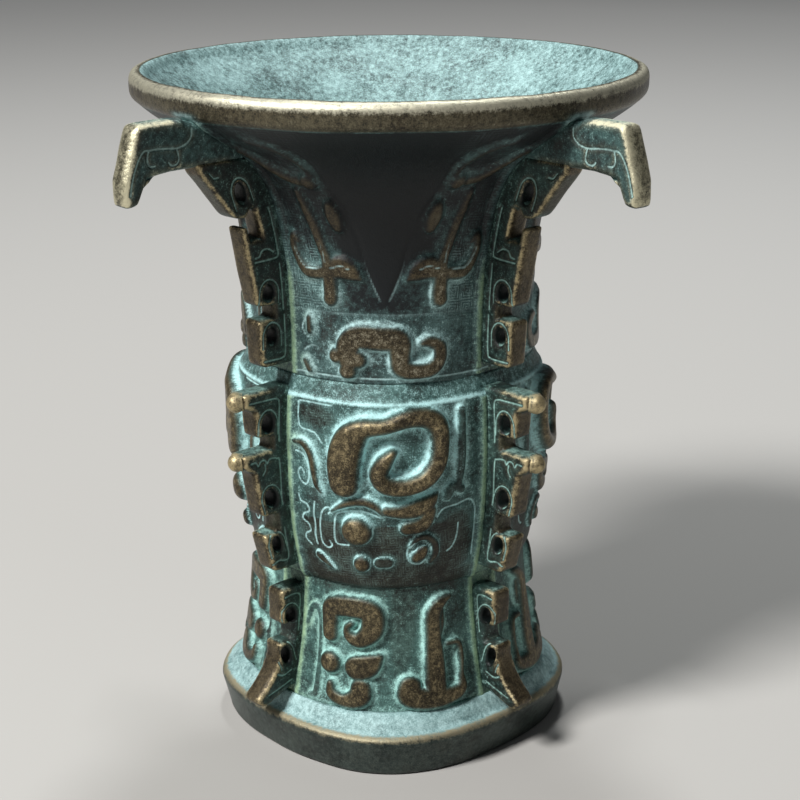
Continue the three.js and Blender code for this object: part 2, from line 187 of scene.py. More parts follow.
def run_of(start, pull, lean, end, spacing):
    """One curved run of a profile, from (radius, height) to (radius, height), at even spacing."""
    knots = [Vector((*spot, 0)) for spot in (start, pull, lean, end)]
    run = np.array([spot.xy for spot in interpolate_bezier(*knots, CURVE_STEPS)])
    along = np.concatenate([[0], np.cumsum(np.hypot(*np.diff(run, axis=0).T))])
    marks = np.linspace(0, along[-1], max(2, round(along[-1] / spacing) + 1))
    return list(zip(np.interp(marks, along, run[:, 0]), np.interp(marks, along, run[:, 1])))


def line_of(start, end, spacing):
    """One straight run of a profile."""
    return run_of(start, start, end, end, spacing)


def turned(name, *runs, columns):
    """Mesh of a closed profile, whose runs each start where the one before ends, in millimetres, turned
    about the upright axis: one sector is spun, and then doubled until it closes on itself."""
    shape = bmesh.new()
    ring = [shape.verts.new((r, 0, z)) for run in runs for r, z in run[:-1]]
    edges = [shape.edges.new(pair) for pair in zip(ring, ring[1:] + ring[:1])]
    sector = 2 * math.pi / 2 ** DOUBLINGS
    steps = columns // 2 ** DOUBLINGS
    bmesh.ops.spin(shape, geom=ring + edges, axis=(0, 0, 1), cent=(0, 0, 0), angle=sector, steps=steps)
    for doubling in range(DOUBLINGS):
        copy = bmesh.ops.duplicate(shape, geom=shape.verts[:] + shape.edges[:] + shape.faces[:])["geom"]
        copied = [v for v in copy if isinstance(v, bmesh.types.BMVert)]
        bmesh.ops.rotate(shape, verts=copied, matrix=Matrix.Rotation(sector * 2 ** doubling, 3, "Z"))
    bmesh.ops.remove_doubles(shape, verts=shape.verts, dist=WELD)
    bmesh.ops.recalc_face_normals(shape, faces=shape.faces)
    return meshed(name, shape)


def read(mesh, what="co"):
    """Places or normals of a mesh's vertices as an array of rows."""
    values = np.empty(len(mesh.vertices) * 3, np.float32)
    mesh.vertices.foreach_get(what, values)
    return values.reshape(-1, 3).astype(float)


def moved(mesh, spots):
    """Puts a mesh's vertices at new places."""
    mesh.vertices.foreach_set("co", spots.astype(np.float32).ravel())
    mesh.update()


def growing(values, start, end):
    """Shares that grow from 0 where the values are at the start to 1 where they are at the end."""
    return np.clip((values - start) / (end - start), 0, 1)


def swelled(mesh, swell):
    """Squares a round mesh softly: the middle of each face moves out, and the flange lines stay."""
    spots = read(mesh)
    turn = np.arctan2(spots[:, 1], spots[:, 0])
    growth = swell * (1 + np.cos(4 * turn)) / 2
    spots[:, 0] += growth * np.cos(turn)
    spots[:, 1] += growth * np.sin(turn)
    moved(mesh, spots)


def uneven(mesh, size, depth):
    """Works a slight unevenness of casting into a mesh, along its normals."""
    spots = read(mesh)
    waves = np.array([noise.noise(Vector(spot) / size) for spot in spots])
    moved(mesh, spots + read(mesh, "normal") * (waves * depth)[:, None])


def weathered(mesh, scroll=None, **shares):
    """Keeps for each vertex how far it is crusted (pale), brown on top (rise), cut into (cut), rubbed bare
    (wear) or greened (moss), and its place and share on the scroll ground, for the finish to read."""
    count = len(mesh.vertices)
    for name in ("pale", "rise", "cut", "wear", "moss"):
        spread = np.broadcast_to(shares.get(name, 0), count).astype(np.float32)
        mesh.attributes.new(name, "FLOAT", "POINT").data.foreach_set("value", spread)
    places = np.zeros((count, 3)) if scroll is None else np.stack(scroll, 1)
    mesh.attributes.new("scroll", "FLOAT_VECTOR", "POINT").data.foreach_set(
        "vector", places.astype(np.float32).ravel()
    )


def patina(name, dark, ground, bloom, crust, shade, brown, gold, blooming=0.0):
    """Bronze with a dark skin under a thin green bloom, crust round the relief and in the cut lines, a
    fine scroll ground, brown tops and edges rubbed to metal. Each layer covers the ones before it."""
    finish = bpy.data.materials.new(name)
    finish.use_nodes = True
    tree = finish.node_tree
    shader = tree.nodes["Principled BSDF"]
    spot = wired(tree, "ShaderNodeTexCoord", {}, "Object")

    def cloud(scale, detail):
        inputs = {"Vector": spot, "Scale": scale, "Detail": detail, "Roughness": 0.65}
        return wired(tree, "ShaderNodeTexNoise", inputs)

    def kept(attribute, output="Fac"):
        return wired(tree, "ShaderNodeAttribute", {}, output, attribute_name=attribute)

    def maths(operation, *values):
        return wired(tree, "ShaderNodeMath", dict(enumerate(values)), operation=operation)

    def times(one, other):
        return maths("MULTIPLY", one, other)

    def total(added, *weighed):
        for value, factor in weighed:
            added = maths("MULTIPLY_ADD", value, factor, added)
        return added

    def ease(value, low, high):
        inputs = {"Value": value, "From Min": low, "From Max": high}
        return wired(tree, "ShaderNodeMapRange", inputs, interpolation_type="SMOOTHSTEP")

    def mixed(share, one, other):
        return blended(tree, share, one, other)

    patches = cloud(scale=120, detail=5)
    stains = cloud(scale=210, detail=5)
    specks = cloud(scale=1000, detail=6)
    grain = cloud(scale=3600, detail=4)
    pale = kept("pale")
    place = wired(tree, "ShaderNodeSeparateXYZ", {"Vector": kept("scroll", "Vector")}).node.outputs
    across = maths("WRAP", place["X"], 1, -1)
    upward = maths("WRAP", place["Y"], 1, -1)
    ring = maths("MAXIMUM", maths("ABSOLUTE", across), maths("ABSOLUTE", upward))
    winding = total(times(ring, 3), (maths("ARCTAN2", upward, across), 0.5 / math.pi))
    coil = times(ease(maths("PINGPONG", winding, 0.5), 0.2, 0.36), place["Z"])

    skin_share = ease(total(0, (specks, 0.6), (grain, 0.4), (pale, 0.2)), 0.41, 0.6)
    stained = times(ease(stains, 0.48, 0.66), ease(pale, -0.7, 0))
    colour = mixed(times(stained, 0.45), mixed(skin_share, dark, ground), STAIN_TONE)
    blooms = total(blooming - 1.6, (patches, 2), (stains, -0.6), (specks, 1.5), (grain, 1), (pale, 0.5))
    colour = mixed(times(ease(blooms, -0.3, 1), 0.85), colour, bloom)
    flecks = ease(total(0, (specks, 0.5), (grain, 0.7), (pale, 0.06)), 0.65, 0.79)
    colour = mixed(times(flecks, 0.32), colour, crust)
    coil_share = times(times(coil, 0.32), ease(total(0, (patches, 1), (grain, 0.6)), 0.65, 1))
    colour = mixed(coil_share, colour, crust)
    patchy = times(pale, total(-0.1, (patches, 1.6), (stains, 0.7)))
    crusted = total(-1.6, (patchy, 1), (specks, 1.5), (grain, 1.3))
    crust_share = times(ease(crusted, 0, 1.2), 0.9)
    colour = mixed(crust_share, colour, mixed(kept("moss"), crust, MOSS_TONE))
    top_share = times(kept("rise"), 0.95)
    mottle = total(-2, (specks, 1.4), (grain, 1.6), (patches, 1))
    colour = mixed(top_share, colour, mixed(ease(mottle, -0.4, 0.35), shade, brown))
    line_share = times(ease(kept("cut"), 0.25, 0.8), total(-0.75, (specks, 2), (grain, 1)))
    colour = mixed(line_share, colour, crust)
    worn = total(-1.9, (kept("wear"), 1.4), (specks, 1.5), (patches, 0.5), (grain, 1))
    gold_share = ease(worn, 0.1, 0.9)
    colour = mixed(gold_share, colour, gold)

    metal = total(0.05, (top_share, 0.55), (gold_share, 0.3))
    dull = total(0.46, (crust_share, 0.08), (top_share, -0.1), (gold_share, 0.1))
    pits = total(0, (specks, 0.7), (grain, 0.5), (crust_share, 0.2), (coil, -0.3))
    bump = wired(tree, "ShaderNodeBump", {"Strength": 0.5, "Distance": PIT_DEPTH, "Height": pits}, "Normal")
    looks = {"Base Color": colour, "Metallic": metal, "Roughness": dull, "Normal": bump}
    for key, value in looks.items():
        tree.links.new(value, shader.inputs[key])
    shader.inputs["Specular IOR Level"].default_value = SHEEN
    return finish


def placed(name, mesh, finish, node):
    """Makes the finished piece, in metres, stand for its node."""
    mesh.transform(Matrix.Scale(1 / MM, 4))
    mesh.shade_smooth()
    mesh.materials.append(finish)
    piece = linked(name, mesh)
    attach(piece, "root")
    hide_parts(node)


base_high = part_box("base")[1] * MM
BASE_EDGE = 8.4
BASE_TAPER = 1.5
BASE_BORE = 26.5
BASE_SWELL = 2.5
BODY_SWELL = 1.4
SEAT_RADIUS = 29.8
SEAT_DEPTH = BASE_EDGE - 0.3
base_radius = base_high.x - BASE_SWELL
under_radius = base_radius - BASE_TAPER
under_edge = (under_radius - 1, 0)
side_foot = (under_radius + 0.1, 1)
side_top = (base_radius, BASE_EDGE - 1.4)
slope_foot = (base_radius - 1.5, BASE_EDGE + 0.4)
slope_top = (SEAT_RADIUS, base_high.z)
seat_corner = (SEAT_RADIUS, SEAT_DEPTH)
bore_top = (BASE_BORE, SEAT_DEPTH)
bore_foot = (BASE_BORE, 0)
base_mesh = turned(
    "base_casting",
    line_of(bore_foot, under_edge, 1.2),
    run_of(under_edge, (under_radius, 0), (under_radius, 0.3), side_foot, 0.4),
    line_of(side_foot, side_top, 0.5),
    run_of(side_top, (base_radius, BASE_EDGE - 0.2), (base_radius - 0.5, BASE_EDGE), slope_foot, 0.25),
    run_of(slope_foot, (base_radius - 2.4, BASE_EDGE + 0.8), (SEAT_RADIUS + 1.2, base_high.z - 0.7),
           slope_top, 0.4),
    line_of(slope_top, seat_corner, 1.2),
    line_of(seat_corner, bore_top, 1.2),
    line_of(bore_top, bore_foot, 1.2),
    columns=480,
)
x, y, height = read(base_mesh).T
radius = np.hypot(x, y)
swelled(base_mesh, np.interp(
    radius, [BASE_BORE + 0.1, SEAT_RADIUS, under_radius - 1], [0, BODY_SWELL, BASE_SWELL]
))
uneven(base_mesh, size=9, depth=0.22)
moved(base_mesh, np.maximum(read(base_mesh), (-base_high.x, -base_high.x, 0)))
on_top = growing(height, BASE_EDGE - 0.5, BASE_EDGE + 0.1)
from_rim = np.hypot(radius - base_radius + 0.5, height - BASE_EDGE + 0.2)
weathered(
    base_mesh, pale=0.85 * on_top - 0.1, rise=0.85 * (1 - on_top), wear=0.85 * growing(from_rim, 1.56, 0.36)
)
BASE_PATINA = patina(
    "base_patina", dark=tone(58, 80, 80), ground=tone(86, 114, 114), bloom=tone(116, 152, 152),
    crust=tone(190, 224, 224), shade=tone(36, 39, 36), brown=tone(66, 64, 54), gold=tone(156, 148, 122),
)
placed("base_casting", base_mesh, BASE_PATINA, "base")


# Ring foot: a hollow bronze casting with a slightly hollowed wall, let into the base. Its faces carry half
# of an animal mask in low round relief: a square coil, an eye and jaw, and an anchor by the other flange.
FAR_OFF = 99.0
STROKE_MARGIN = 5.0
PLAIN_GAP = 9.0
SEAM_REACH = 3.3
SEAM_WIDTH = 1.1
SEAM_GLOW = 1.7
SEAM_HEIGHT = 0.45
SCROLL_CELL = 3.2


def evened(mesh, values, passes):
    """Values at the vertices, evened out over their neighbours."""
    edges = np.empty(len(mesh.edges) * 2, np.int32)
    mesh.edges.foreach_get("vertices", edges)
    first, second = edges.reshape(-1, 2).T
    count = len(mesh.vertices)
    links = np.maximum(np.bincount(edges, minlength=count), 1)
    rows = values.reshape(count, -1)
    for _ in range(passes):
        sums = [
            np.bincount(first, column[second], count) + np.bincount(second, column[first], count)
            for column in rows.T
        ]
        rows = 0.5 * rows + 0.5 * np.stack(sums, 1) / links[:, None]
    return rows.reshape(values.shape)


def around(mesh):
    """Place of each vertex on the wall: radius, height, angle in degrees from the nearest mask flange and
    from the nearest flange of any kind, and the way round the wall to that one in millimetres."""
    x, y, z = read(mesh).T
    turn = np.degrees(np.arctan2(x, -y))
    from_mask = np.abs((turn + 135) % 180 - 90)
    from_any = np.abs((turn + 90) % 90 - 45)
    radius = np.hypot(x, y)
    return radius, z, from_mask, from_any, np.radians(from_any) * radius


def wall_at(wall, z):
    """Radius of a wall at one height or more."""
    return np.interp(z, *np.array(wall)[:, ::-1].T)


def flowing(points, steps=6):
    """Points of a stroke, joined by a smooth curve through all of them."""
    rows = np.array([points[0], *points, points[-1]], float)
    parts = []
    for before, start, end, after in zip(rows, rows[1:], rows[2:], rows[3:]):
        t = np.arange(steps)[:, None] / steps
        parts.append(
            start + 0.5 * t * (end - before)
            + t ** 2 * (before - 2.5 * start + 2 * end - 0.5 * after)
            + t ** 3 * (1.5 * (start - end) + 0.5 * (after - before))
        )
    return np.concatenate([*parts, rows[-1:]])


def from_run(spots, knots, widths):
    """Distance of each spot from the edge of a run of straight pieces, wider or narrower at its knots."""
    best = np.full(len(spots), FAR_OFF)
    for start, end, w0, w1 in zip(knots, knots[1:], widths, widths[1:]):
        run = end - start
        along = np.clip((spots - start) @ run / max(run @ run, 1e-9), 0, 1)
        away = np.hypot(*(spots - start - along[:, None] * run).T)
        best = np.minimum(best, away - (w0 + (w1 - w0) * along) / 2)
    return best


def gap_to(spots, points):
    """Distance of each spot from the edge of a stroke whose points hold its width, or from a line."""
    stroke = flowing(points)
    widths = stroke[:, 2] if stroke.shape[1] == 3 else np.zeros(len(stroke))
    low = stroke[:, :2].min(0) - STROKE_MARGIN
    high = stroke[:, :2].max(0) + STROKE_MARGIN
    inside = np.all((spots > low) & (spots < high), axis=1)
    gaps = np.full(len(spots), FAR_OFF)
    gaps[inside] = from_run(spots[inside], stroke[:, :2], widths)
    return gaps


def dot(across, z, width):
    """A round boss, as a very short stroke."""
    return [(across, z - 0.01, width), (across, z + 0.01, width)]


class Carving:
    """Relief on a wall, unrolled to millimetres: raised strokes, stains and painted shade, and cut lines,
    added one by one.
    """

    def __init__(self, along, height):
        self.spots = np.stack([along, height], 1)
        self.height = np.zeros(len(along))
        self.gap = np.full(len(along), PLAIN_GAP)
        self.rise = np.zeros(len(along))
        self.stain_and_shade = np.zeros(len(along))
        self.cut = np.zeros(len(along))

    def stroke(self, points, height, edge, brown=1.0):
        """Raises a stroke through points of place, height and width, rounded over its edge, brown on top."""
        gap = gap_to(self.spots, points)
        rounding = growing(gap, 0.1, 0.1 - edge)
        self.height = np.maximum(self.height, height * np.sqrt(1 - (1 - rounding) ** 2))
        self.gap = np.minimum(self.gap, gap)
        self.rise = np.maximum(self.rise, brown * growing(gap, -0.2, -0.8))

    def browned(self, points, share):
        """Browns and darkens the ground along a broad stroke: stains, and round the belly's lower curve
        painted shade.
        """
        self.stain_and_shade = np.maximum(self.stain_and_shade, share * growing(gap_to(self.spots, points), 0, -1.2))

    def line(self, points, depth=0.25, width=0.36, share=0.9):
        """Cuts a fine line, which the finish fills with a share of crust."""
        cut = growing(gap_to(self.spots, points), 1.1 * width, 0.1 * width)
        self.height -= depth * cut
        self.cut = np.maximum(self.cut, share * cut)

    def work(self, mesh, on_wall, seam, halo, reach):
        """Puts the relief on the wall's outside, with a pale bead along each flange root, and gives back
        how far the wall is crusted, brown on top, rubbed bare, cut and greened."""
        lift = evened(mesh, np.where(on_wall, self.height, 0), 1)
        bead = growing(np.abs(seam - SEAM_REACH), SEAM_WIDTH, SEAM_WIDTH / 3) * on_wall
        glow = np.exp(-np.clip(seam - SEAM_REACH, 0, None) / SEAM_GLOW) * on_wall
        spots = read(mesh)
        moved(mesh, spots + read(mesh, "normal") * (lift + SEAM_HEIGHT * np.sqrt(bead))[:, None])
        outside = np.exp(-np.clip(self.gap, 0, None) / reach) * growing(self.gap, -0.35, 0)
        stain_and_shade = self.stain_and_shade * (1 - outside) * (1 - glow) * on_wall
        return {
            "pale": np.maximum(halo * outside * on_wall, np.maximum(0.9 * bead, 0.5 * glow)) - 1.1 * stain_and_shade,
            "rise": np.maximum(self.rise, 0.22 * stain_and_shade) * on_wall,
            "wear": 0.42 * growing(self.gap, -0.2, -1.2) * self.rise * on_wall,
            "cut": self.cut * on_wall,
            "moss": glow,
        }

    def clear(self):
        """Share of the plain ground, away from the relief and the lines."""
        return growing(self.gap, 0.3, 0.8) * (1 - self.cut)


def scroll_ground(along, height, share):
    """Place on the scroll ground, two units to a cell, and how strongly it shows there."""
    return along * 2 / SCROLL_CELL, height * 2 / SCROLL_CELL, share


foot_low, foot_high = (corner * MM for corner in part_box("ring_foot"))
belly_low, belly_high = (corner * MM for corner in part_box("belly"))
FOOT_BOTTOM = base_high.z
FOOT_WALL = 3
FOOT_RADIUS = 29.5
FOOT_INSIDE = FOOT_RADIUS - FOOT_WALL
WAIST = belly_low.z
WAIST_RADIUS = 26
WAIST_INSIDE = WAIST_RADIUS - FOOT_WALL
SPIGOT_RADIUS = WAIST_RADIUS - 1.5
foot_wall = run_of((FOOT_RADIUS, FOOT_BOTTOM), (27.4, 20.3), (26.2, 28.7), (WAIST_RADIUS, WAIST), 0.3)
foot_mesh = turned(
    "ring_foot_casting",
    line_of((FOOT_RADIUS, foot_low.z), (FOOT_RADIUS, FOOT_BOTTOM), 0.6),
    foot_wall,
    line_of((WAIST_RADIUS, WAIST), (SPIGOT_RADIUS, WAIST), 0.8),
    line_of((SPIGOT_RADIUS, WAIST), (SPIGOT_RADIUS, foot_high.z), 1.2),
    line_of((SPIGOT_RADIUS, foot_high.z), (WAIST_INSIDE, foot_high.z), 0.8),
    run_of((WAIST_INSIDE, foot_high.z), (WAIST_INSIDE, 28.7), (24.4, 20.3), (FOOT_INSIDE, foot_low.z), 1.2),
    line_of((FOOT_INSIDE, foot_low.z), (FOOT_RADIUS, foot_low.z), 0.8),
    columns=640,
)
FOOT_UNROLL = 28
radius, height, from_mask, from_any, seam = around(foot_mesh)
depth_in = wall_at(foot_wall, height) - radius
on_wall = (depth_in < 0.5) & (height > FOOT_BOTTOM - 0.2) & (height < WAIST - 0.1)
swelled(foot_mesh, BODY_SWELL * growing(depth_in, 1.2, 0.2))
foot_along = np.radians(from_mask) * FOOT_UNROLL
foot_carving = Carving(foot_along, height)
FOOT_MASK = {
    "horn": ([
        (10.6, 26.5, 3.7), (10.5, 29.7, 4), (11, 32.2, 4.6), (14.9, 32.8, 4.8), (18.5, 32.4, 4.8),
        (19.3, 30.6, 5), (18.9, 28, 4.6), (16.7, 26.1, 3.5), (14.7, 26.7, 2.6), (14.2, 28.4, 1.8),
        (15, 29.3, 1.6),
    ], 1.8, 1.2),
    "eye": (dot(10.8, 20.6, 4.8), 1.9, 2),
    "cheek": ([(16.3, 20.4, 5.2), (18.4, 21, 4.8), (20.7, 23, 1.6)], 1.6, 1.1),
    "jaw": ([
        (11.2, 16.3, 2), (11.7, 14.4, 2.8), (14.2, 13.5, 3.2), (16.8, 14.5, 4.4), (17.2, 16.4, 4.2),
    ], 1.6, 1.1),
    "stem": ([
        (34.6, 34.3, 1.4), (32.6, 33.3, 2.8), (31, 31, 3.6), (30.9, 26, 3.8), (31, 20.6, 4.4),
        (31, 15.1, 4.4),
    ], 1.6, 1.1),
    "anchor": ([
        (33.8, 24.5, 1.6), (36, 24.3, 1.8), (36.6, 21.7, 1.8), (36.4, 18, 1.6), (36, 14.8, 3),
        (32.2, 13.9, 4.2), (28.4, 14.1, 4.6), (26.1, 15.2, 5), (26, 17, 4.4),
    ], 1.7, 1.2),
    "bud": ([(33, 31.7, 1.1), (33, 29.1, 1.6), (32.8, 26.6, 0.9)], 0.8, 0.8),
    "border": ([
        (4.4, 27.1, 1), (5.3, 30.4, 1.6), (6.7, 30.8, 1.4), (7.6, 28.7, 1.2), (7.9, 22.7, 1.2),
        (7.8, 14.2, 1.6), (6.5, 12.8, 1.4),
    ], 0.5, 0.8, 0.1),
}
for stroke in FOOT_MASK.values():
    foot_carving.stroke(*stroke)
foot_carving.browned([(25, 35, 6), (25, 29, 7), (24.6, 23, 5), (24.4, 20, 3)], 0.6)
# A darker brown band runs along the top of the foot, just under the belly.
foot_carving.browned([(6, 36, 3), (20, 36.2, 3), (40, 36, 3)], 0.4)
foot_finish = foot_carving.work(foot_mesh, on_wall, seam, halo=1.05, reach=0.9)
uneven(foot_mesh, size=7, depth=0.12)
low_crust = 0.7 * growing(np.abs(height - FOOT_BOTTOM), 1.6, 0)
foot_finish["pale"] = np.maximum(foot_finish["pale"], low_crust)
foot_scroll = scroll_ground(foot_along, height, 0.15 * foot_carving.clear())
weathered(foot_mesh, scroll=foot_scroll, **foot_finish)
FOOT_PATINA = patina(
    "ring_foot_patina", dark=tone(18, 27, 26), ground=tone(42, 61, 58), bloom=tone(80, 117, 111),
    crust=tone(182, 232, 224), shade=tone(48, 43, 34), brown=tone(100, 89, 66), gold=tone(178, 161, 122),
)
placed("ring_foot_casting", foot_mesh, FOOT_PATINA, "ring_foot")


# Vessel floor: a cast bronze disc that closes the belly, seated on the spigot of the ring foot. Only its
# top shows, deep in the mouth, dull with old crust.
floor_low, floor_high = (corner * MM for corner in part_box("vessel_floor"))
FLOOR_EASE = 0.6
DISC_POLE = 0.01
ONE_STEP = 9
rim_under = (floor_high.x - FLOOR_EASE, floor_low.z)
rim_low = (floor_high.x, floor_low.z + FLOOR_EASE)
rim_high = (floor_high.x, floor_high.z - FLOOR_EASE)
rim_over = (floor_high.x - FLOOR_EASE, floor_high.z)
disc_mesh = turned(
    "floor_disc",
    line_of((DISC_POLE, floor_low.z), rim_under, 1.5),
    line_of(rim_under, rim_low, ONE_STEP),
    line_of(rim_low, rim_high, 0.6),
    line_of(rim_high, rim_over, ONE_STEP),
    line_of(rim_over, (DISC_POLE, floor_high.z), 0.8),
    line_of((DISC_POLE, floor_high.z), (DISC_POLE, floor_low.z), ONE_STEP),
    columns=160,
)
uneven(disc_mesh, size=6, depth=0.2)
weathered(disc_mesh, pale=0.45)
FLOOR_PATINA = patina(
    "vessel_floor_patina", dark=tone(40, 44, 40), ground=tone(66, 74, 70), bloom=tone(98, 124, 120),
    crust=tone(128, 158, 152), shade=tone(46, 42, 32), brown=tone(84, 76, 56), gold=tone(130, 116, 90),
)
placed("floor_disc", disc_mesh, FLOOR_PATINA, "vessel_floor")


# Belly: a bronze drum with a sloped shoulder, seated on the ring foot and cast with half of a horned mask
# on each face. The coiled horn stands highest, on a fine scroll ground, and a pale bead of solder and
# crust runs along each flange root.
SHOULDER = 75.4
SHOULDER_RADIUS = 29.4
NECK_RADIUS = 28
NECK_SWELL = 0.8
NECK_BORE = 26.8
BORE_STEP = (NECK_BORE, 74.7)
FLOOR_BORE = 24.8
BELLY_FOOT = (27.6, 40.4)
BELLY_INSIDE = (26.3, 47)
belly_wall = [
    *run_of((WAIST_RADIUS + 0.3, WAIST), (27, WAIST + 0.4), (27.3, WAIST + 1.8), BELLY_FOOT, 0.35)[:-1],
    *run_of(BELLY_FOOT, (29.75, 49.8), (30.1, 62.6), (SHOULDER_RADIUS, SHOULDER - 0.8), 0.305),
]
shoulder_edge = (SHOULDER_RADIUS - 0.5, SHOULDER + 0.6)
shoulder_top = (NECK_RADIUS, belly_high.z)
belly_mesh = turned(
    "belly_casting",
    belly_wall,
    run_of(belly_wall[-1], (SHOULDER_RADIUS, SHOULDER - 0.1), (SHOULDER_RADIUS - 0.1, SHOULDER + 0.2),
           shoulder_edge, 0.3),
    run_of(shoulder_edge, (28.5, 77.2), (28.2, 78.2), shoulder_top, 0.4),
    line_of(shoulder_top, (NECK_BORE, belly_high.z), 0.8),
    line_of((NECK_BORE, belly_high.z), BORE_STEP, 1.5),
    run_of(BORE_STEP, (26.8, 66), (26.5, 54), BELLY_INSIDE, 2.4),
    line_of(BELLY_INSIDE, (FLOOR_BORE, floor_high.z), 2),
    line_of((FLOOR_BORE, floor_high.z), (FLOOR_BORE, WAIST), 2.4),
    line_of((FLOOR_BORE, WAIST), belly_wall[0], 0.8),
    columns=608,
)
BELLY_UNROLL = 31
radius, height, from_mask, from_any, seam = around(belly_mesh)
depth_in = wall_at([*belly_wall, shoulder_edge, shoulder_top], height) - radius
on_wall = (depth_in < 0.5) & (height < SHOULDER - 0.2) & (height > WAIST + 0.2)
face_swell = np.interp(height, [SHOULDER, belly_high.z], [BODY_SWELL, NECK_SWELL])
swelled(belly_mesh, face_swell * growing(depth_in, 1.1, 0.1))
belly_along = np.radians(from_mask) * BELLY_UNROLL
belly_carving = Carving(belly_along, height)
BELLY_MASK = {
    "horn": ([
        (16.6, 60.2, 6.2), (16.6, 64.4, 6.8), (17.7, 68.5, 6.4), (20.1, 71.1, 4.4), (24.3, 71.8, 3.5),
        (28.5, 73.2, 4), (32, 73.1, 4.4), (34.1, 71.1, 4.4), (34.5, 67.1, 3.8), (33.7, 63.5, 4),
        (31.4, 60.9, 4), (27.7, 59.7, 4), (24.4, 60.2, 4), (23.1, 62.4, 3.8), (24.2, 64.8, 3.4),
        (25.6, 66.6, 2.2),
    ], 2.8, 2),
    "brow": ([
        (13.5, 53.7, 0.7), (16.7, 55.7, 1.8), (20, 56.4, 2), (22.5, 55.5, 1.8), (23.8, 53.7, 0.7),
    ], 1.2, 0.9),
    "eye": (dot(18.7, 50.2, 6.2), 2.4, 2.6),
    "nose": ([
        (24.4, 54.7, 2.2), (27.3, 54.5, 3.1), (30.3, 55.1, 4), (32.6, 56.2, 3.1), (34.1, 57.8, 0.9),
    ], 1.4, 1.1),
    "snout": ([(32.6, 54.3, 3.1), (31.4, 51.8, 3.6), (28.4, 51, 3.1)], 1.3, 1.1),
    "fang": ([
        (29.2, 46.8, 1), (30.4, 48.4, 1.4), (32.4, 48.6, 1.6), (34, 47, 1.8), (34.2, 44.8, 1.8),
        (33.2, 43.2, 1.2),
    ], 0.9, 0.7, 0.5),
    "fang_boss": ([(30.2, 44.4, 2.4), (31.2, 45.2, 2.8), (31.9, 46.2, 1.8)], 1.1, 0.9),
    "chin": ([(23, 43.2, 2.4), (24.6, 43.3, 2.4)], 0.5, 0.8, 0.1),
    "claw": ([(9.3, 43.2, 1.6), (11.2, 42.2, 1.8), (13, 40.9, 0.8)], 0.5, 0.7, 0.5),
    "nostril": (dot(19.4, 43, 3.6), 1.5, 1.6),
    "ridge": ([(39.6, 73.4, 2), (39.5, 68, 2.2), (39.3, 62, 2.2), (38.9, 59, 1.8)], 0.9, 0.8, 0.1),
    "ridge_foot": ([(39.6, 57.6, 2), (37.5, 58.4, 2.4), (36.4, 56.6, 2)], 0.9, 0.9, 0.1),
    "tail": ([
        (4.9, 66.4, 1.2), (7.2, 66.3, 1.8), (9, 64.2, 2), (9.7, 61, 2), (10.2, 58.4, 1.6), (11.4, 56.8, 0.7),
    ], 0.7, 0.8),
}
# Brown stains on the belly. The lower reach of the mask stain and the band round the bottom curve also
# darken the down-turned lower belly as painted shade.
BELLY_STAINS_AND_SHADE = [
    ([(7, 72.2, 4.6), (10.5, 72.2, 5.4), (13, 72, 4)], 0.55),
    ([(9, 45, 14), (17, 46, 19), (24, 46, 21), (31, 46, 20), (36, 45, 16)], 0.85),
    ([(39, 49.5, 8), (39, 43, 9)], 0.7),
    ([(3, 38.6, 5), (24, 38.6, 5), (46, 38.6, 5)], 0.9),
]
BELLY_LINES = [
    [(16.6, 46.5), (14.4, 46.4), (13.6, 47.5), (13.9, 51.9), (15.1, 53.3), (19.5, 54.1), (23.3, 52.9)],
    [(34.5, 52.3), (35.9, 53.9), (38.9, 54.3), (41.7, 54.8), (43.1, 53.7), (43.6, 50.9), (43.6, 42.5)],
    [(39.4, 50.3), (39.2, 47.4), (38.3, 45.3), (37.1, 44.5)],
    [(8.4, 43.2), (9.2, 44.2), (10.4, 43.8), (12.2, 42.2), (13.2, 40.9)],
    [(8.4, 43.2), (9.4, 42), (11, 41.2)],
    [(29.9, 47.6), (28.6, 46), (28.6, 44), (29.7, 42.8), (31.4, 42.6), (32.4, 43.4)],
    [(4.8, 64.3), (6.6, 63.9), (7.8, 62.2), (8, 59.4), (7.2, 57.8), (5.8, 58.4), (5.2, 60), (6, 61),
     (6.8, 60)],
    [(5, 55.4), (5.6, 54), (7.2, 53.6), (7.6, 52.2), (6.2, 51.4), (5.8, 50.2), (7.2, 49.4), (7.6, 48),
     (6.4, 47.2), (6.2, 46), (7.6, 45)],
    [(9.2, 54.6), (8.8, 52), (9, 49.6), (8.8, 47.4), (9.2, 45.4)],
    [(12.4, 52.6), (13, 53.4), (12.2, 54), (10.9, 52.8), (10.3, 50.4), (10.2, 48), (10.6, 46), (11.8, 45.2),
     (12.8, 45.8), (12.3, 46.8)],
    [(13.6, 74.7), (6.4, 74.6), (5.6, 73.6), (5.6, 70.6), (6.4, 69.2), (9.6, 68.8), (11.4, 67)],
]
for stroke in BELLY_MASK.values():
    belly_carving.stroke(*stroke)
for stain_and_shade in BELLY_STAINS_AND_SHADE:
    belly_carving.browned(*stain_and_shade)
for points in BELLY_LINES:
    belly_carving.line(points)
HORN_FOOT = 57.5
halo_reach = np.where(height > HORN_FOOT, 1.2, 0.5)
belly_finish = belly_carving.work(belly_mesh, on_wall, seam, halo=1.2, reach=halo_reach)
uneven(belly_mesh, size=7, depth=0.12)
on_ledge = (height > SHOULDER - 0.3) & (radius > NECK_RADIUS - 0.1)
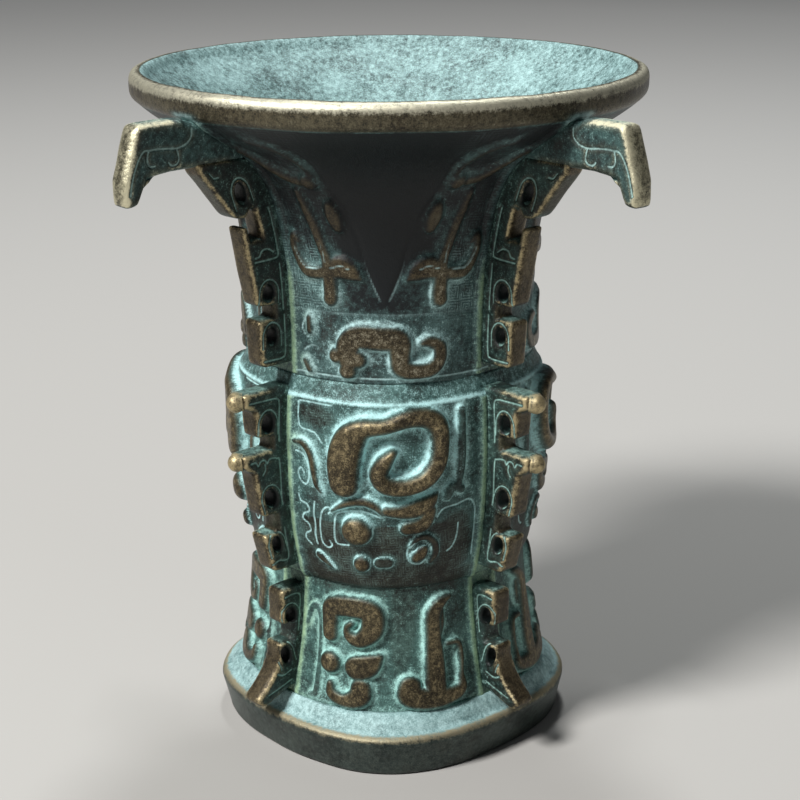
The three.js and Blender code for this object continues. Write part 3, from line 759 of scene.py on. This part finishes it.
# The crust is brightened along the ledge's outer edge as a painted highlight, on top of the ledge's even
# crust.
ledge_edge_highlight = growing(np.abs(height - SHOULDER - 0.1), 0.6, 0)
belly_finish["pale"] = np.where(on_ledge, 0.34 + 0.9 * ledge_edge_highlight, belly_finish["pale"])
belly_scroll = scroll_ground(belly_along, height, 0.3 * belly_carving.clear() * on_wall)
weathered(belly_mesh, scroll=belly_scroll, **belly_finish)
BELLY_PATINA = patina(
    "belly_patina", dark=tone(16, 23, 22), ground=tone(36, 52, 49), bloom=tone(84, 122, 118),
    crust=tone(196, 242, 242), shade=tone(50, 44, 34), brown=tone(112, 99, 73), gold=tone(196, 178, 136),
)
placed("belly_casting", belly_mesh, BELLY_PATINA, "belly")


# Neck: the bronze trumpet and its round lip, with a spigot that drops into the belly. A serpent crawls in
# the band above the shoulder, and leaf blades with a stem and cross bars climb from it to the mouth.
neck_low, neck_high = (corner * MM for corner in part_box("neck"))
MOUTH_RADIUS = neck_high.x
LIP_TOP = neck_high.z
LIP_UNDER = LIP_TOP - 5
BAND_TOP = 92.3
NECK_BOTTOM = belly_high.z
NECK_STRAIGHT = NECK_BOTTOM + 5
NECK_INSIDE = NECK_RADIUS - 3
NECK_SPIGOT = NECK_BORE - 0.3
TRUMPET_PULLS = ((NECK_RADIUS, 124.25), (39.6, 121.25))
neck_wall = [
    *line_of((NECK_RADIUS, NECK_BOTTOM), (NECK_RADIUS, NECK_STRAIGHT), 0.36)[:-1],
    *run_of((NECK_RADIUS, NECK_STRAIGHT), *TRUMPET_PULLS, (MOUTH_RADIUS - 0.8, LIP_UNDER), 0.5),
]
lip_side = (MOUTH_RADIUS, LIP_TOP - 2)
lip_crown = (MOUTH_RADIUS - 2, LIP_TOP)
lip_inside = (MOUTH_RADIUS - 4.2, LIP_TOP - 1.9)
neck_mesh = turned(
    "neck_casting",
    neck_wall,
    run_of(neck_wall[-1], (MOUTH_RADIUS, LIP_UNDER + 0.5), (MOUTH_RADIUS, LIP_UNDER + 1.2), lip_side, 0.35),
    run_of(lip_side, (MOUTH_RADIUS, LIP_TOP - 0.6), (MOUTH_RADIUS - 0.6, LIP_TOP), lip_crown, 0.3),
    run_of(lip_crown, (MOUTH_RADIUS - 3, LIP_TOP), (MOUTH_RADIUS - 3.6, LIP_TOP - 1.2), lip_inside, 0.4),
    run_of(lip_inside, (38.5, 126.5), (NECK_INSIDE, 122), (NECK_INSIDE, NECK_STRAIGHT), 2),
    line_of((NECK_INSIDE, NECK_STRAIGHT), (NECK_INSIDE, neck_low.z), 3),
    line_of((NECK_INSIDE, neck_low.z), (NECK_SPIGOT, neck_low.z), 1),
    line_of((NECK_SPIGOT, neck_low.z), (NECK_SPIGOT, NECK_BOTTOM), 2),
    line_of((NECK_SPIGOT, NECK_BOTTOM), neck_wall[0], 0.8),
    columns=512,
)
BAND_UNROLL = 29
radius, height, from_mask, from_any, seam = around(neck_mesh)
wall_radius = wall_at(neck_wall, height)
depth_in = wall_radius - radius
on_wall = (depth_in < 0.8) & (height < LIP_UNDER - 0.5) & (height > NECK_BOTTOM + 0.2)
face_swell = np.interp(height, [NECK_BOTTOM, LIP_UNDER], [NECK_SWELL, 0])
swelled(neck_mesh, face_swell * growing(depth_in, 1.1, 0.1))
band_carving = Carving(np.radians(from_mask) * BAND_UNROLL, height)
BAND_SERPENT = {
    "body": ([
        (16, 83.6, 4.4), (15.8, 86.3, 4.9), (17.5, 88.2, 4.9), (21.9, 88.1, 5.1), (25.1, 87.7, 4.9),
        (25.5, 84.6, 4.2), (25.8, 82.5, 4), (28.2, 81.6, 3.6), (31.3, 81.9, 3.4), (33, 83.7, 3.1),
        (33, 86.1, 3.1), (31.3, 87.2, 2.7), (29.7, 87, 1.6),
    ], 1.2, 0.7),
    "outer_cheek": (dot(13.5, 84.4, 3.3), 1.5, 1.4),
    "inner_cheek": (dot(17.7, 83.9, 3.8), 1.5, 1.4),
    "snout": (dot(15.8, 81.6, 3.8), 1.5, 1.4),
    "upper_bud": ([(7.5, 91, 1.6), (7.6, 88.5, 1.8)], 0.7, 0.7),
    "lower_bud": ([(6.4, 82.4, 1.6), (7.4, 80.8, 1.8)], 0.7, 0.7),
}
for stroke in BAND_SERPENT.values():
    band_carving.stroke(*stroke)
band_carving.line([(6.3, 90.7), (5.4, 89.1), (5.8, 87.6), (6.9, 87)])
band_carving.line([(5.7, 84.3), (7.3, 85.3), (9.3, 85.2)])
for border in (BAND_TOP, NECK_BOTTOM + 1):
    band_carving.line([(4, border), (22, border), (45, border)], depth=0.2)
leaf_carving = Carving(np.radians(from_any) * wall_radius, height)


def on_leaf(points):
    """Leaf points, given by their angle from the flange, as distances round the trumpet."""
    return [(math.radians(turn) * wall_at(neck_wall, z), z, *width) for turn, z, *width in points]


LEAF_EDGE = [
    (17.9, 127.2), (22, 125.5), (24.8, 123.2), (26, 119.2), (28.9, 114.8), (33.4, 110.6), (36.4, 106.2),
    (38.5, 101.4), (41.2, 97.5), (43.3, 95.2),
]
LEAF_STROKES = {
    "upper_bar": ([(6.5, 124, 1.6), (10, 121.5, 2), (15.1, 119.2, 2.2), (19.6, 118.5, 2.2)], 0.8, 0.9),
    "bar_end": (dot(22.7, 118.6, 3.1), 1.3, 1.3),
    "stem": ([
        (17.4, 116.3, 1.6), (18.6, 112.9, 2.2), (20.6, 109.5, 2.4), (22.5, 105.7, 2.4), (24, 103.3, 2.6),
        (24.6, 100, 3), (24.9, 96.6, 3.2), (24.7, 95.3, 3.2),
    ], 1, 1),
    "arm": ([
        (22.6, 100.4, 3), (15.8, 100.2, 2.8), (12.3, 102.2, 2.2), (10.7, 105, 2), (11.4, 107, 1.8),
        (13.2, 106, 1.2),
    ], 0.9, 0.9),
    "lobe": ([(24.4, 100.8, 3.4), (28.6, 101.6, 4.6), (32.4, 101, 3.8), (36.8, 99.4, 0.8)], 1, 1),
    "bud": ([(27.5, 113.8, 2.2), (28.3, 111.6, 3.2), (29.4, 109.5, 2.2)], 1.1, 1.1),
    "shoulder": ([(13, 126.8, 1.2), (18.6, 125.2, 1.6), (22.2, 122.6, 1.6), (24, 120, 1.4)], 0.6, 0.7, 0.4),
}
LEAF_VEINS = [
    [(17.4, 114.2), (19, 111.4), (21.1, 108.2), (22.9, 104.8), (23.6, 102.4)],
    [(22, 101.4), (16, 101), (12.6, 102.8), (11, 105)],
    [(25.4, 101.4), (29.4, 102), (32.6, 101.4)],
]
for points, *relief in LEAF_STROKES.values():
    leaf_carving.stroke(on_leaf(points), *relief)
leaf_carving.line(on_leaf(LEAF_EDGE), width=0.6, share=0.5)
leaf_carving.line(on_leaf([(11, 126.6), (15.4, 125.2), (18.7, 122.4), (21.3, 120.3)]))
for points in LEAF_VEINS:
    leaf_carving.line(on_leaf(points), depth=0.2, width=0.4)
neck_carving = Carving(*leaf_carving.spots.T)
in_band = height < BAND_TOP + 0.5
for kind in ("height", "gap", "rise", "stain_and_shade", "cut"):
    setattr(neck_carving, kind, np.where(in_band, getattr(band_carving, kind), getattr(leaf_carving, kind)))
neck_finish = neck_carving.work(neck_mesh, on_wall, seam, halo=1.15, reach=0.9)
uneven(neck_mesh, size=9, depth=0.15)
LEAF_FOOT = 94
SHADE_FOOT = 98
MOUTH_CRUST = 0.68
leaf_reach = np.interp(height, *np.array(LEAF_EDGE[::-1])[:, ::-1].T)
# The plain blades between the leaves keep only the darkest skin, with no crust. The lip's shadow on them is
# painted into this too, so it is partly painted shade.
plain = growing(from_any - leaf_reach, 0, 1.5) * growing(height, LEAF_FOOT, LEAF_FOOT + 2)
inner = growing(from_any, 26, 35) * growing(height, BAND_TOP, BAND_TOP + 2)
# Painted shade of the lip: from SHADE_FOOT up towards the mouth the wall loses its crust, and its lines,
# rubbed metal, green and brown tops are dimmed.
painted_lip_shade = growing(height, SHADE_FOOT, SHADE_FOOT + 10)
# The crust is cut back under the mouth as painted shade, towards the middle of each face above the band, and
# most on the plain blades between the leaves.
darkened = on_wall * (1.2 * painted_lip_shade + inner + 2 * plain)
on_lip = (height > LIP_UNDER - 0.3) & (radius > MOUTH_RADIUS - 2.2)
in_mouth = ((depth_in > 1) | (height > LIP_UNDER + 3)) & ~on_lip
neck_finish["pale"] = np.where(in_mouth, MOUTH_CRUST, neck_finish["pale"] - darkened)
for kind in ("cut", "wear", "moss"):
    neck_finish[kind] = neck_finish[kind] * (1 - 0.65 * painted_lip_shade)
neck_finish["rise"] = np.where(on_lip, 0.9, neck_finish["rise"] * (1 - 0.35 * painted_lip_shade))
by_hook = growing(seam, 4.68, 2.08) * growing(height, LIP_UNDER + 1.6, LIP_UNDER + 0.6)
by_hook *= (height > LIP_UNDER - 2) & ~in_mouth
neck_finish["pale"] = neck_finish["pale"] * (1 - by_hook) + 1.1 * by_hook
neck_finish["rise"] = neck_finish["rise"] * (1 - 0.8 * by_hook)
from_crown = np.hypot(radius - MOUTH_RADIUS + 0.7, height - LIP_TOP + 0.8)
from_edge = np.hypot(radius - MOUTH_RADIUS + 0.2, height - LIP_UNDER - 0.6)
lip_wear = np.maximum(0.85 * growing(from_crown, 2.08, 0.78), 0.35 * growing(from_edge, 1, 0))
neck_finish["wear"] = np.maximum(neck_finish["wear"], lip_wear)
scroll_share = np.interp(height, [91, 93, 103, 108], [0.2, 1, 1, 0.2]) * growing(from_any, 29, 24)
scroll_share *= neck_carving.clear() * on_wall
neck_scroll = scroll_ground(np.radians(from_any) * BAND_UNROLL, height, scroll_share)
weathered(neck_mesh, scroll=neck_scroll, **neck_finish)
# The darkest skin tone is set low enough to give the shadowed plain blades under the lip, so it is partly
# painted shade.
NECK_PATINA = patina(
    "neck_patina", dark=tone(13, 18, 21), ground=tone(35, 51, 51), bloom=tone(82, 113, 111),
    crust=tone(184, 220, 220), shade=tone(48, 43, 34), brown=tone(102, 90, 67), gold=tone(204, 200, 178),
)
placed("neck_casting", neck_mesh, NECK_PATINA, "neck")


# Foot flanges: pierced bronze bars cast one by one and let into the foot wall, a short bar above and a
# tail below that sweeps out over the base. Their outer faces are rubbed brown by handling.
FLANGE_THICKNESS = 4.9
FLANGE_SINK = 0.9
FLANGE_VOXEL = 0.23
ROOT_KNOTS = 9
DRILL_LENGTH = 10
HOLE_BORDER = 2
LINE_DEPTH = 0.25
CORNERS = {"front_left": -135, "front_right": -45, "back_right": 45, "back_left": 135}


def plate(shape, corners, thickness):
    """Adds an upright plate with rounded corners, (radius, height, rounding), to a bmesh."""
    ring = [shape.verts.new((r, -thickness / 2, z)) for r, z, _ in corners]
    face = shape.faces.new(ring)
    grown = bmesh.ops.extrude_face_region(shape, geom=[face])["geom"]
    far = [v for v in grown if isinstance(v, bmesh.types.BMVert)]
    bmesh.ops.translate(shape, verts=far, vec=(0, thickness, 0))
    for rounding in sorted({c[2] for c in corners if c[2]}):
        spots = {(round(r, 3), round(z, 3)) for r, z, size in corners if size == rounding}
        edges = [
            e for e in shape.edges
            if (round(e.verts[0].co.x, 3), round(e.verts[0].co.z, 3)) in spots
            and abs(e.verts[0].co.y - e.verts[1].co.y) > thickness / 2
        ]
        bmesh.ops.bevel(
            shape, geom=edges, offset=rounding, affect="EDGES", segments=4, profile=0.5, material=-1,
            clamp_overlap=True,
        )
    bmesh.ops.recalc_face_normals(shape, faces=shape.faces)


def pierced(name, corners, holes, balls, thickness, softness):
    """Mesh of a plate with ball tips, pierced by oval holes and softened as a casting."""
    body = bmesh.new()
    plate(body, corners, thickness)
    for r, z, size in balls:
        bmesh.ops.create_uvsphere(
            body, u_segments=20, v_segments=12, radius=size, matrix=Matrix.Translation((r, 0, z))
        )
    drill = bmesh.new()
    for r, z, width, tall, lean in holes:
        spin = Matrix.Rotation(math.radians(lean), 4, "Y") @ Matrix.Diagonal((width / 2, 1, tall / 2, 1))
        bmesh.ops.create_cone(
            drill, cap_ends=True, segments=24, radius1=1, radius2=1, depth=DRILL_LENGTH,
            matrix=Matrix.Translation((r, 0, z)) @ spin @ Matrix.Rotation(math.pi / 2, 4, "X"),
        )
    block = linked(name, meshed(name, body))
    drill_block = linked(name + "_drill", meshed(name + "_drill", drill))
    piercing = block.modifiers.new("piercing", "BOOLEAN")
    piercing.operation = "DIFFERENCE"
    piercing.object = drill_block
    skin = block.modifiers.new("skin", "REMESH")
    skin.mode = "VOXEL"
    skin.voxel_size = FLANGE_VOXEL
    softening = block.modifiers.new("softening", "SMOOTH")
    softening.factor = 0.5
    softening.iterations = softness
    ready = block.evaluated_get(bpy.context.evaluated_depsgraph_get())
    casting = bpy.data.meshes.new_from_object(ready)
    bpy.data.objects.remove(block)
    bpy.data.objects.remove(drill_block)
    return casting


def flange_casting(name, outer, lines, wall, line_wall, holes=(), balls=(), thickness=FLANGE_THICKNESS,
                   bare=0.15, easing=0.8, softness=40):
    """One flange, rooted in a wall, with eased edges. Lines are cut into both sides, by their reach and
    height and round the holes, and its outer faces are rubbed more or less bare."""
    half = thickness / 2
    root_heights = np.linspace(outer[-1][1], outer[0][1], ROOT_KNOTS)
    root = [(wall_at(wall, z) - FLANGE_SINK, z, 0) for z in root_heights]
    casting = pierced(name, [*outer, *root], holes, balls, thickness, softness)
    spots = read(casting)
    r, y, z = spots.T
    outline = np.array([root[-1], *outer, root[0]])[:, :2]
    inset = growing(from_run(np.stack([r, z], 1), outline, np.zeros(len(outline))), 0, easing)
    narrowed = 1 - easing / half * (1 - np.sqrt(1 - (1 - inset) ** 2))
    lining = np.zeros(len(spots))
    cut = np.zeros(len(spots))
    for hole_r, hole_z, width, tall, lean in holes:
        turn = math.radians(lean)
        over = (r - hole_r) * math.cos(turn) - (z - hole_z) * math.sin(turn)
        up = (r - hole_r) * math.sin(turn) + (z - hole_z) * math.cos(turn)
        lining = np.maximum(lining, growing(np.hypot(over * 2 / width, up * 2 / tall), 1.4, 1.15))
        wide = width + HOLE_BORDER
        arch = np.hypot(over * 2 / wide, np.maximum(up, 0) * 2 / (tall + HOLE_BORDER))
        cut = np.maximum(cut, growing(np.abs(arch - 1) * wide / 2, 0.3, 0) * (up > -0.5 * tall - 0.6))
    tip = np.zeros(len(spots))
    for ball_r, ball_z, size in balls:
        off = np.hypot(np.hypot(r - ball_r, z - ball_z), y) / size
        tip = np.maximum(tip, growing(off, 2, 1))
        narrowed = np.maximum(narrowed, growing(off, 1.25, 1.05))
    spots[:, 1] = y * narrowed
    reach = r - wall_at(line_wall, z)
    for line in lines:
        cut = np.maximum(cut, growing(gap_to(np.stack([reach, z], 1), line), 0.4, 0))
    cut *= (np.abs(y) > half - 0.5) * (1 - lining)
    spots[:, 1] -= np.sign(y) * LINE_DEPTH * cut
    moved(casting, spots)
    uneven(casting, size=4, depth=0.08)
    normals = read(casting, "normal")
    proud = growing(((spots - evened(casting, spots, 12)) * normals).sum(1), 0, 0.1)
    depth = r - wall_at(wall, z)
    clear = growing(depth, 2, 4)
    # Outer faces that turn down are left dark, without brown or rubbed metal, as painted shade.
    outward = growing(normals[:, 0], 0.2, 0.6) * growing(normals[:, 2], -0.8, -0.5) * clear * (1 - lining)
    upward = growing(normals[:, 2], 0.45, 0.75) * growing(depth, 3.2, 4.7)
    crusted = np.maximum(0.5 * growing(depth, 1.4, 0), 0.55 * upward * (1 - outward))
    weathered(
        casting, pale=np.where(lining > 0.5, 2 * upward - 1, crusted), cut=0.75 * cut,
        rise=np.maximum(outward, 0.5 * proud * clear * (1 - lining)),
        wear=np.maximum(bare * np.maximum(outward, upward), 0.45 * tip) + 0.55 * proud * clear,
    )
    return casting


def set_round(name, casting, finish):
    """Puts a copy of a flange at each of the four corners."""
    for corner, angle in CORNERS.items():
        copy = casting.copy()
        copy.transform(Matrix.Rotation(math.radians(angle), 4, "Z"))
        placed(f"{name}_casting_{corner}", copy, finish, f"{name}_{corner}")


def reaching(line_wall, places):
    """Corners, holes or balls of a flange, with their reach from a line turned into a radius."""
    return [(wall_at(line_wall, z) + reach, z, *rest) for reach, z, *rest in places]


foot_edge = reaching(foot_wall, [
    (0.8, 13.2, 0), (7.8, 10.6, 1.1), (9.8, 12.6, 1.1), (7.4, 15.2, 1), (5.9, 17.6, 1), (5.2, 20.4, 1),
    (5.6, 23.4, 1), (2.2, 23.4, 0.4), (2.2, 27.1, 0.4), (5.4, 27.1, 1.1), (6, 34.7, 1.1),
])
foot_holes = reaching(foot_wall, [(3.22, 28.8, 2.4, 3.4, 15), (3.6, 20.6, 2, 4, 15)])
FOOT_FLANGE_LINES = [
    [(5, 33), (2.6, 33.2), (1.2, 32.6), (1, 30.4), (1, 25)],
    [(5.2, 17), (3.6, 16.4), (1.6, 17)],
    [(6.8, 13.2), (4.1, 13.9), (1.1, 14.8)],
]
FLANGE_BRONZE = patina(
    "flange_bronze", dark=tone(14, 22, 21), ground=tone(32, 46, 43), bloom=tone(60, 88, 82),
    crust=tone(176, 220, 210), shade=tone(48, 43, 34), brown=tone(100, 88, 66), gold=tone(196, 180, 140),
    blooming=-0.2,
)
foot_flange = flange_casting("foot_flange", foot_edge, FOOT_FLANGE_LINES, foot_wall, foot_wall, foot_holes)
set_round("foot_flange", foot_flange, FLANGE_BRONZE)


# Belly flanges: three pierced bronze bars on one root, the upper two ending in ball tips that are rubbed
# bright. Each is let into the drum wall and brazed along its root.
belly_line = [(r + 1, z) for r, z in belly_wall]
belly_edge = reaching(belly_line, [
    (5.6, 39.1, 1.4), (6.2, 47.4, 1), (2.4, 47.4, 0.4), (2.4, 51.2, 0.4), (6, 51.2, 1.2), (7.2, 60.6, 0.8),
    (9.6, 62.2, 0.8), (9.6, 64.8, 0.8), (2.5, 64.8, 0.4), (2.5, 67.4, 0.4), (6.2, 67.4, 1.2), (6.8, 73, 0.8),
    (9.4, 74.2, 0.8), (9.4, 76.9, 0.8),
])
belly_holes = reaching(belly_line, [
    (3.3, 44.9, 2, 3.6, 15), (3.4, 54.8, 2.6, 3.8, 15), (3.6, 70, 2.6, 3.8, 0),
])
belly_balls = reaching(belly_line, [(9.6, 63.2, 1.9), (9.6, 75.2, 2)])
BELLY_FLANGE_LINES = [
    [(8.2, 75), (4.6, 74.9), (1.6, 74.7), (0.9, 73.6), (0.9, 70.5), (0.9, 66)],
    [(8, 63), (6.8, 63), (6.2, 62.2), (5.6, 63), (4.6, 63), (4, 62.2), (3.4, 63), (1.6, 62.7), (0.9, 61.6),
     (0.9, 53)],
    [(4.6, 62.2), (4.5, 61), (5.2, 60)],
    [(5.2, 40.8), (3.6, 41.4), (1.8, 41), (1, 42.2), (1, 48)],
]
belly_flange = flange_casting(
    "belly_flange", belly_edge, BELLY_FLANGE_LINES, belly_wall, belly_line, belly_holes, belly_balls
)
set_round("belly_flange", belly_flange, FLANGE_BRONZE)


# Neck flanges: three pierced bronze bars on one root, let into the trumpet wall and following its curve,
# the top one leaning out to meet the hook. A slot behind the middle bar leaves its upper end free.
HOOK_BOTTOM = LIP_UNDER - 8.7
NECK_LINE_RADIUS = 28.6
neck_line = [
    (NECK_LINE_RADIUS, NECK_BOTTOM),
    *run_of((NECK_LINE_RADIUS, 84), (NECK_LINE_RADIUS, 124.25), (39.6, 121.25), (49.2, 130), 0.5),
]
neck_edge = reaching(neck_line, [
    (6.6, 81.1, 1.4), (7.1, 90.6, 1), (3, 90.6, 0.4), (3, 93.2, 0.4), (7.1, 93.2, 1.2), (8.2, 109, 0.8),
    (6.6, 109, 0.4), (6.6, 106.4, 0.5), (4, 106.4, 0.5), (4, 112.2, 0.5), (5, 112.2, 0.4), (6.4, 110.6, 0.4),
    (9.4, 110.6, 2), (11.2, 115.4, 1.8), (12, 120.2, 0.6), (10.4, HOOK_BOTTOM + 0.9, 0),
])
neck_holes = reaching(neck_line, [
    (4, 87.2, 2.4, 3.4, 0), (4.2, 95.6, 2.6, 3.4, 0), (5.8, 115.4, 2.2, 4.2, 20),
])
NECK_FLANGE_LINES = [
    [(9.9, 120), (9.7, 119), (8.6, 119.1)],
    [(1, 112), (1, 104.4), (1, 102.9), (1.8, 102.2), (6.6, 102)],
    [(2, 103.4), (3.2, 104.2), (4.6, 104), (5.4, 103), (6.4, 102.8)],
    [(1, 101), (1, 92)],
    [(6, 82.5), (3.8, 82.5), (1.6, 82.6), (0.9, 83.8), (0.9, 91)],
]
neck_flange = flange_casting("neck_flange", neck_edge, NECK_FLANGE_LINES, neck_wall, neck_line, neck_holes)
set_round("neck_flange", neck_flange, FLANGE_BRONZE)


# Rim hooks: a level bronze arm under the lip with a drooping beak, let into the trumpet wall. The top and
# the outer face are rubbed to pale bare metal, and scrolled lines are cut into each side.
HOOK_THICKNESS = 5
HOOK_TOP = LIP_UNDER - 0.3
hook_line = [(MOUTH_RADIUS, 100), (MOUTH_RADIUS, 140)]
hook_edge = reaching(hook_line, [
    (4, HOOK_BOTTOM, 0), (9.4, HOOK_BOTTOM - 0.6, 2.6), (11.3, 116.1, 1.4), (14.4, 115.8, 1.4),
    (14.4, 120.8, 1.6), (11.4, HOOK_TOP + 0.8, 1.6), (1.4, HOOK_TOP + 0.8, 0.5), (0.6, HOOK_TOP, 0),
])
HOOK_LINES = [
    [(-0.3, 128.6), (-0.2, 127.2), (0.7, 126.2), (1.8, 125.7), (3.4, 125.5), (6.8, 125.8), (8.9, 125.8),
     (10.2, 125.7), (11.3, 124.4), (12.3, 122.3), (13, 120), (13.3, 118.4)],
    [(9.1, 125.7), (9.4, 124.7), (9.3, 123.4), (8.7, 122.9), (7.8, 122.9)],
    [(3.1, 125.5), (2.8, 124.4), (2.7, 123.5), (3.3, 122.7), (4.4, 122.6), (5, 123.2)],
]
HOOK_BRONZE = patina(
    "hook_bronze", dark=tone(24, 36, 36), ground=tone(46, 64, 63), bloom=tone(76, 110, 107),
    crust=tone(190, 226, 220), shade=tone(70, 68, 54), brown=tone(120, 114, 92), gold=tone(214, 208, 178),
    blooming=-0.1,
)
rim_hook = flange_casting(
    "rim_hook", hook_edge, HOOK_LINES, neck_wall, hook_line, thickness=HOOK_THICKNESS, bare=0.5, easing=1.4,
    softness=60,
)
set_round("rim_hook", rim_hook, HOOK_BRONZE)
